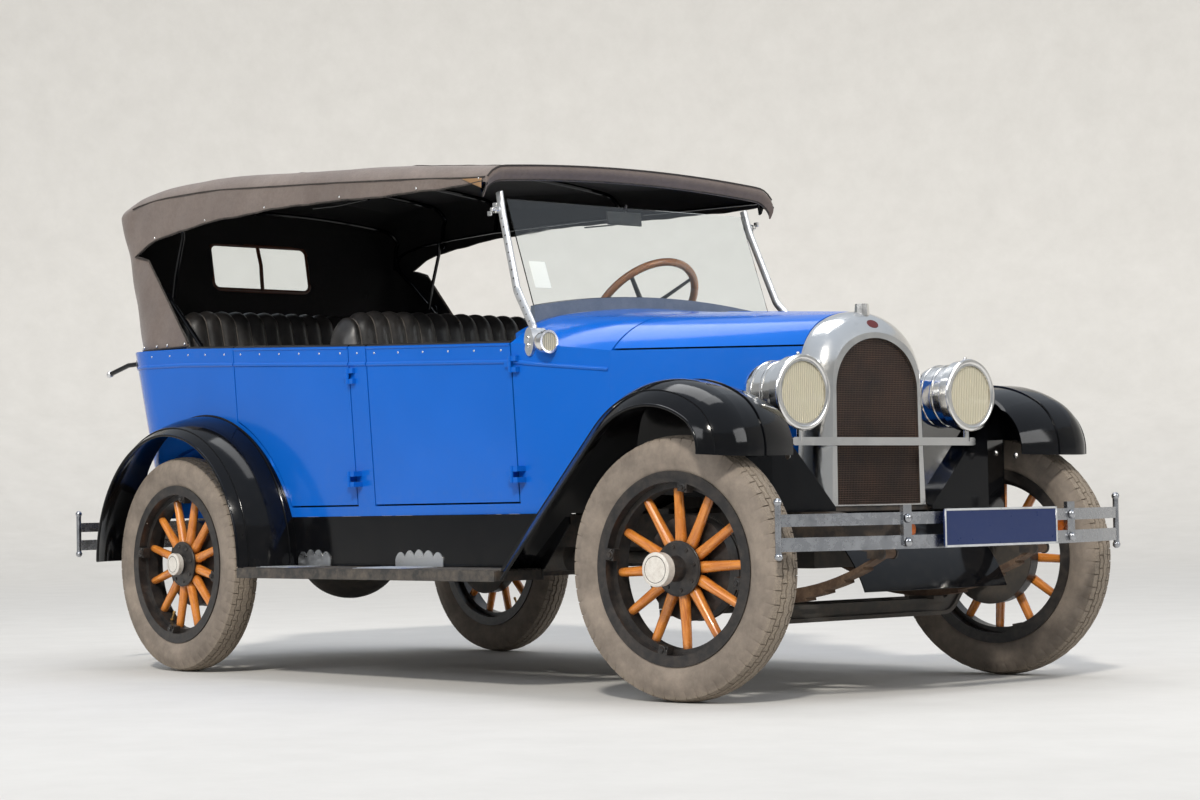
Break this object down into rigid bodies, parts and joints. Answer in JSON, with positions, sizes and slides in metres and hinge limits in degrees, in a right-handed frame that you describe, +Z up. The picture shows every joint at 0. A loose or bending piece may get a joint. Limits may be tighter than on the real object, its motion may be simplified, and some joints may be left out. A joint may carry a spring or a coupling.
{
  "type": "touring car",
  "caption": "Open five-seat touring car with folding top, wood-spoked wheels, running boards, working steering, doors and bonnet.",
  "frame": {"origin": "on the ground at the middle of the overall length and width", "axes": "+X forward, +Y to the car's left, +Z up"},
  "size_m": [4, 1.681, 1.7958],
  "materials": {
    "body_blue": "gloss",
    "black_paint": "gloss",
    "chassis_black": "satin",
    "cast_iron": "matt",
    "nickel": "polished",
    "core_brown": "matt",
    "tyre": "matt",
    "spoke_wood": "varnished",
    "wheel_metal": "gloss",
    "rim_wood": "varnished",
    "floor_wood": "matt",
    "leather": "satin",
    "canvas": "matt",
    "glass": "clear",
    "lens": "clear",
    "amber": "gloss",
    "aluminium": "satin",
    "plate_blue": "satin"
  },
  "bodies": {
    "body": {"bonnet_sides_and_hinge": "body_blue", "bumpers": "nickel", "cowl": "body_blue", "cowl_lamps": "nickel", "dashboard": "black_paint", "door_hinges": "black_paint", "exhaust": "chassis_black", "floor_and_bulkhead": "floor_wood", "folding_top": "canvas", "frame": "chassis_black", "front_axle": "chassis_black", "front_seat": "leather", "front_wings": "black_paint", "fuel_tank": "chassis_black", "headlamps": "nickel", "lamp_glasses": "lens", "leaf_springs": "chassis_black", "number_plate": "plate_blue", "power_unit": "cast_iron", "radiator_core": "core_brown", "radiator_shell": "nickel", "rear_axle": "chassis_black", "rear_seat": "leather", "rear_tub": "body_blue", "rear_wings": "black_paint", "running_boards": "black_paint", "signal_lamps": "amber", "sills_and_centre_posts": "body_blue", "spare_rim_and_carrier": "black_paint", "spare_tyre": "tyre", "splash_aprons": "black_paint", "steering_column_and_levers": "chassis_black", "step_plates": "aluminium", "top_irons": "chassis_black", "windscreen_frame": "aluminium", "windscreen_glass": "glass"},
    "wheel_front_left": {"tyre_front_left": "tyre", "spokes_front_left": "spoke_wood", "rim_and_hub_front_left": "wheel_metal"},
    "wheel_front_right": {"tyre_front_right": "tyre", "spokes_front_right": "spoke_wood", "rim_and_hub_front_right": "wheel_metal"},
    "wheel_rear_left": {"tyre_rear_left": "tyre", "spokes_rear_left": "spoke_wood", "rim_and_hub_rear_left": "wheel_metal"},
    "wheel_rear_right": {"tyre_rear_right": "tyre", "spokes_rear_right": "spoke_wood", "rim_and_hub_rear_right": "wheel_metal"},
    "knuckle_left": {"knuckle_left": "chassis_black"},
    "knuckle_right": {"knuckle_right": "chassis_black"},
    "tie_rod": {"tie_rod": "chassis_black"},
    "drop_arm": {"drop_arm": "chassis_black"},
    "drag_link": {"drag_link": "chassis_black"},
    "steering_wheel": {"steering_wheel": "rim_wood"},
    "front_door_left": {"front_door_left": "body_blue"},
    "front_door_right": {"front_door_right": "body_blue"},
    "rear_door_left": {"rear_door_left": "body_blue"},
    "rear_door_right": {"rear_door_right": "body_blue"},
    "bonnet_top_left": {"bonnet_top_left": "body_blue"},
    "bonnet_top_right": {"bonnet_top_right": "body_blue"}
  },
  "joints": [
    {"name": "steer_left", "type": "hinge", "parent": "body", "child": "knuckle_left", "pos_m": [1.41, 0.6, 0.378], "axis": [0, 0, 1], "range_deg": [-38, 22]},
    {"name": "steer_right", "type": "hinge", "parent": "body", "child": "knuckle_right", "pos_m": [1.41, -0.6, 0.378], "axis": [0, 0, 1], "range_deg": [-38, 22]},
    {"name": "tie_rod_ball", "type": "hinge", "parent": "knuckle_left", "child": "tie_rod", "pos_m": [1.25156, 0.57773, 0.245], "axis": [0, 0, 1], "range_deg": [-22, 38]},
    {"name": "drop_arm_turn", "type": "hinge", "parent": "body", "child": "drop_arm", "pos_m": [0.83, 0.43661, 0.619], "axis": [0, 1, 0], "range_deg": [-22, 38]},
    {"name": "drag_link_ball", "type": "hinge", "parent": "drop_arm", "child": "drag_link", "pos_m": [0.85296, 0.43661, 0.45561], "axis": [0, 1, 0], "range_deg": [-38, 22]},
    {"name": "steering_wheel_turn", "type": "hinge", "parent": "body", "child": "steering_wheel", "pos_m": [0.14, 0.33, 1.23], "axis": [-0.7487, 0, 0.6629], "range_deg": [-342, 198]},
    {"name": "front_wheel_left", "type": "hinge", "parent": "knuckle_left", "child": "wheel_front_left", "pos_m": [1.39455, 0.70992, 0.378], "axis": [-0.1392, 0.9903, 0], "continuous": true},
    {"name": "rear_wheel_left", "type": "hinge", "parent": "body", "child": "wheel_rear_left", "pos_m": [-1.136, 0.711, 0.378], "axis": [0, 1, 0], "continuous": true},
    {"name": "front_wheel_right", "type": "hinge", "parent": "knuckle_right", "child": "wheel_front_right", "pos_m": [1.42545, -0.70992, 0.378], "axis": [-0.1392, 0.9903, 0], "continuous": true},
    {"name": "rear_wheel_right", "type": "hinge", "parent": "body", "child": "wheel_rear_right", "pos_m": [-1.136, -0.711, 0.378], "axis": [0, 1, 0], "continuous": true},
    {"name": "front_door_left_swing", "type": "hinge", "parent": "body", "child": "front_door_left", "pos_m": [0.598, 0.65116, 1], "axis": [0, 0, -1], "range_deg": [0, 65]},
    {"name": "rear_door_left_swing", "type": "hinge", "parent": "body", "child": "rear_door_left", "pos_m": [-0.21, 0.67958, 1], "axis": [0, 0, -1], "range_deg": [0, 65]},
    {"name": "front_door_right_swing", "type": "hinge", "parent": "body", "child": "front_door_right", "pos_m": [0.598, -0.65116, 1], "axis": [0, 0, 1], "range_deg": [0, 65]},
    {"name": "rear_door_right_swing", "type": "hinge", "parent": "body", "child": "rear_door_right", "pos_m": [-0.21, -0.67958, 1], "axis": [0, 0, 1], "range_deg": [0, 65]},
    {"name": "bonnet_left_lift", "type": "hinge", "parent": "body", "child": "bonnet_top_left", "pos_m": [0.9, 0, 1.16], "axis": [0.9978, 0, -0.0658], "range_deg": [0, 55]},
    {"name": "bonnet_right_lift", "type": "hinge", "parent": "body", "child": "bonnet_top_right", "pos_m": [0.9, 0, 1.16], "axis": [-0.9978, 0, 0.0658], "range_deg": [0, 55]}
  ],
  "couplings": [
    {"joint": "steer_right", "follows": "steer_left", "ratio": 1},
    {"joint": "tie_rod_ball", "follows": "steer_left", "ratio": -1},
    {"joint": "drop_arm_turn", "follows": "steer_left", "ratio": -1},
    {"joint": "drag_link_ball", "follows": "steer_left", "ratio": 1},
    {"joint": "steering_wheel_turn", "follows": "steer_left", "ratio": 9}
  ]
}
